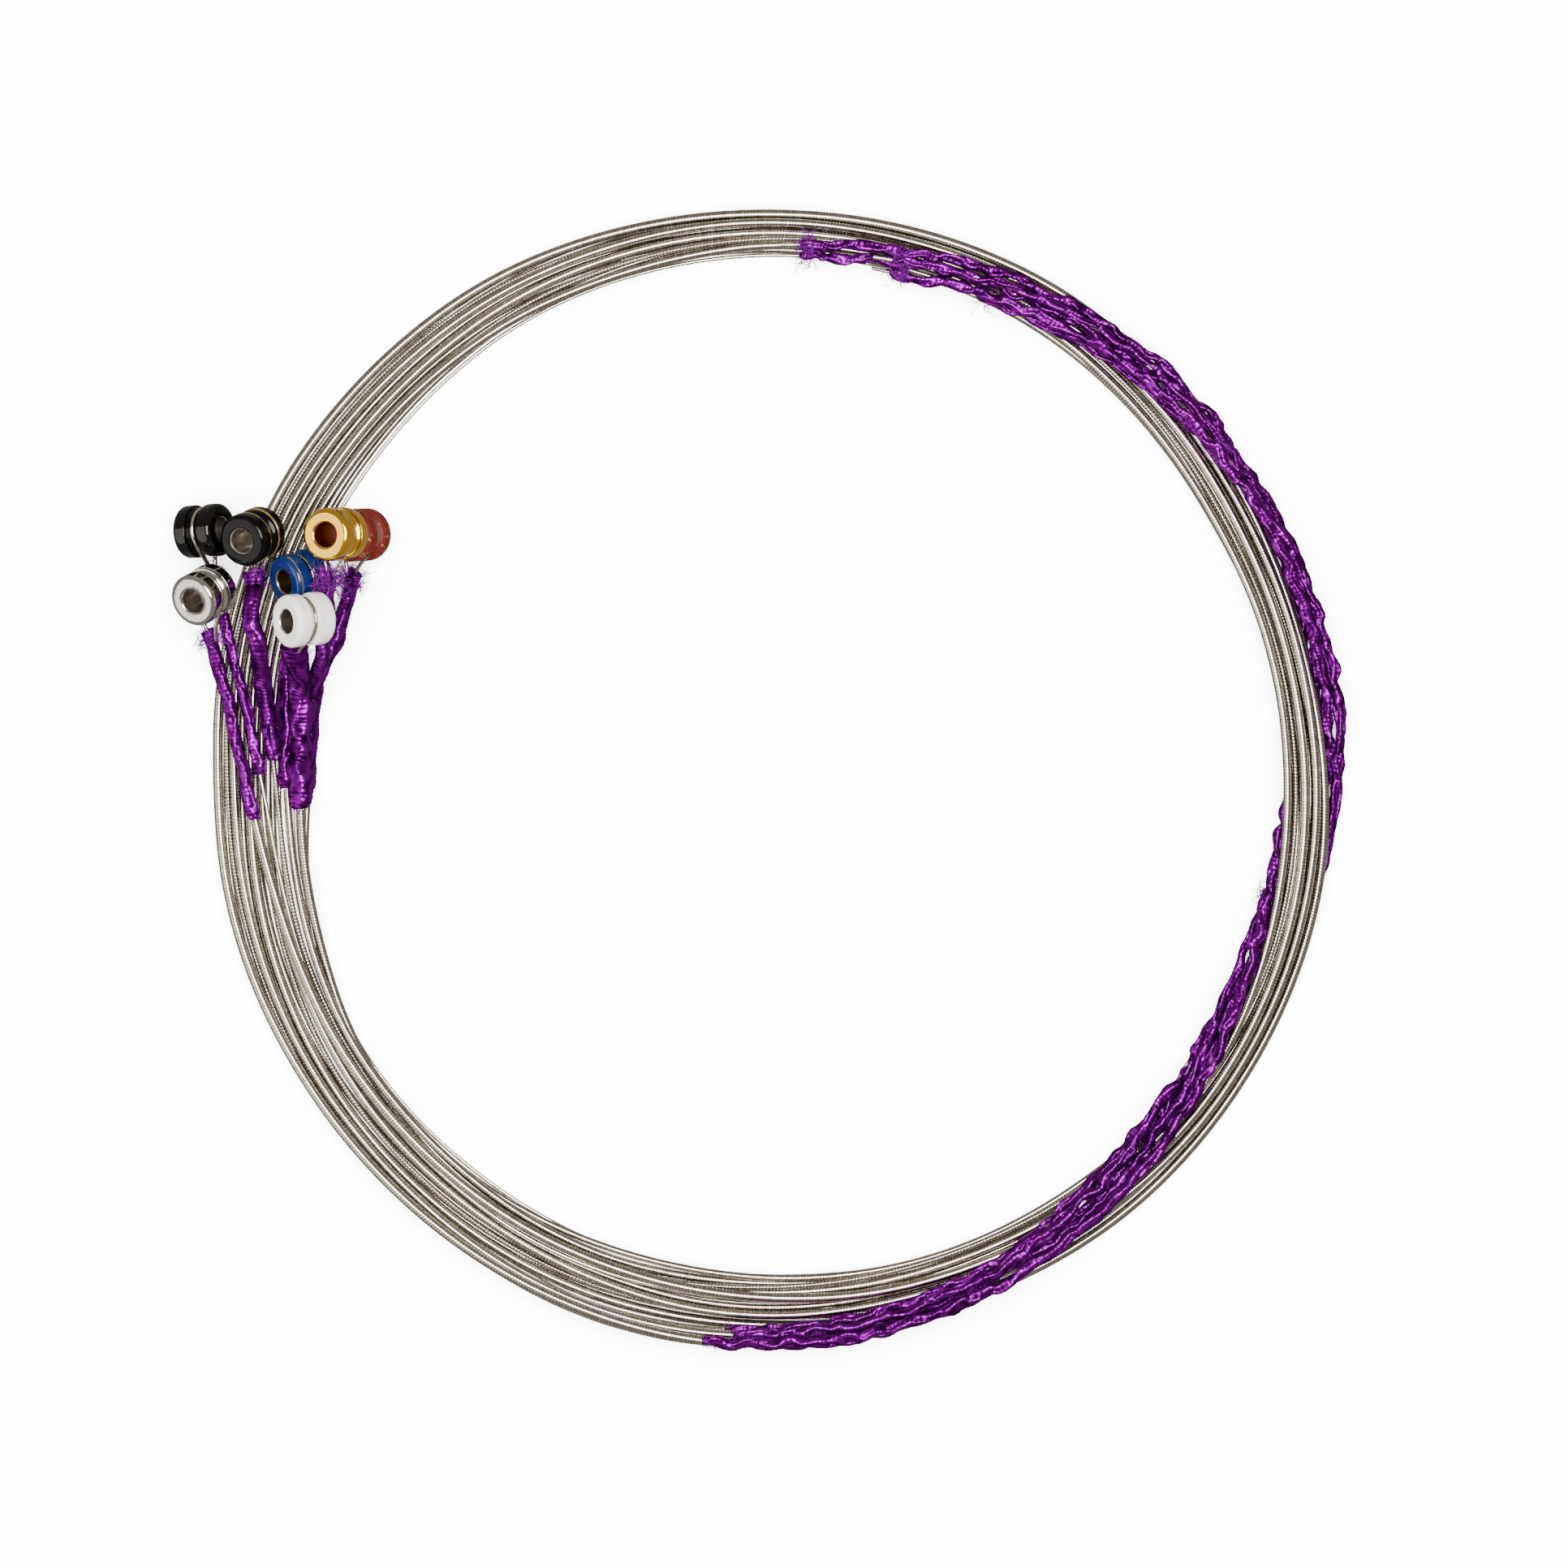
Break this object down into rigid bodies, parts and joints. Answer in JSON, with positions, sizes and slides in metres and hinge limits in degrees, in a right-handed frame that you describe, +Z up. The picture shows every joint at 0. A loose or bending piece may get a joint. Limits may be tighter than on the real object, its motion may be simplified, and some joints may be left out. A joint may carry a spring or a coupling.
{
  "type": "instrument string set",
  "caption": "Metal instrument strings with purple silk wrappings at both ends and small coloured ball ends, coiled together in one ring.",
  "frame": {"origin": "under the middle of the whole set, on the table that it lies on", "axes": "+Z up out of the table; the ball ends lie at the -X side, a little towards +Y; each string runs counter-clockwise from its ball end, seen from above"},
  "size_m": [0.0885, 0.0863, 0.0097],
  "materials": {
    "plain_steel": "drawn and tinned, bright",
    "wound_nickel": "fine flat winding, polished",
    "purple_silk": "floss wound tight and wrinkled, satin sheen",
    "black_enamel": "gloss",
    "bright_nickel": "polished",
    "black_nickel": "gloss, brass showing at the groove's edges",
    "blue_enamel": "gloss, worn at the edges",
    "white_enamel": "gloss, scratched",
    "gold_brass": "polished",
    "red_enamel": "worn, brass showing through"
  },
  "bodies": {
    "strings": {"red_core_wire": "plain_steel", "red_ball_silk": "purple_silk", "red_peg_silk": "purple_silk", "gold_core_wire": "plain_steel", "gold_winding": "wound_nickel", "gold_ball_silk": "purple_silk", "gold_peg_silk": "purple_silk", "white_core_wire": "plain_steel", "white_winding": "wound_nickel", "white_ball_silk": "purple_silk", "white_peg_silk": "purple_silk", "blue_core_wire": "plain_steel", "blue_winding": "wound_nickel", "blue_ball_silk": "purple_silk", "blue_peg_silk": "purple_silk", "nickel_core_wire": "plain_steel", "nickel_winding": "wound_nickel", "nickel_ball_silk": "purple_silk", "nickel_peg_silk": "purple_silk", "black_core_wire": "plain_steel", "black_ball_silk": "purple_silk", "black_peg_silk": "purple_silk", "silver_core_wire": "plain_steel", "silver_winding": "wound_nickel", "silver_ball_silk": "purple_silk", "silver_peg_silk": "purple_silk"},
    "red_ball": {"red_ball_end": "red_enamel"},
    "gold_ball": {"gold_ball_end": "gold_brass"},
    "white_ball": {"white_ball_end": "white_enamel"},
    "blue_ball": {"blue_ball_end": "blue_enamel"},
    "nickel_ball": {"nickel_ball_end": "black_nickel"},
    "black_ball": {"black_ball_end": "black_enamel"},
    "silver_ball": {"silver_ball_end": "bright_nickel"}
  },
  "joints": [
    {"name": "red_ball_spin", "type": "hinge", "parent": "strings", "child": "red_ball", "pos_m": [-0.0302, 0.01845, 0.00255], "axis": [0.4507, 0.0501, -0.8913], "continuous": true},
    {"name": "gold_ball_spin", "type": "hinge", "parent": "strings", "child": "gold_ball", "pos_m": [-0.03175, 0.0184, 0.006], "axis": [-0.4507, -0.0501, 0.8913], "continuous": true},
    {"name": "white_ball_spin", "type": "hinge", "parent": "strings", "child": "white_ball", "pos_m": [-0.03405, 0.01195, 0.00725], "axis": [-0.796, -0.0995, 0.597], "continuous": true},
    {"name": "blue_ball_spin", "type": "hinge", "parent": "strings", "child": "blue_ball", "pos_m": [-0.0345, 0.01525, 0.00355], "axis": [-0.7557, -0.2519, 0.6046], "continuous": true},
    {"name": "nickel_ball_spin", "type": "hinge", "parent": "strings", "child": "nickel_ball", "pos_m": [-0.0381, 0.0183, 0.0042], "axis": [-0.4528, -0.2516, 0.8554], "continuous": true},
    {"name": "black_ball_spin", "type": "hinge", "parent": "strings", "child": "black_ball", "pos_m": [-0.04185, 0.01875, 0.00275], "axis": [0.8659, 0.0498, 0.4977], "continuous": true},
    {"name": "silver_ball_spin", "type": "hinge", "parent": "strings", "child": "silver_ball", "pos_m": [-0.04175, 0.0139, 0.00435], "axis": [-0.4969, -0.3478, 0.795], "continuous": true}
  ]
}
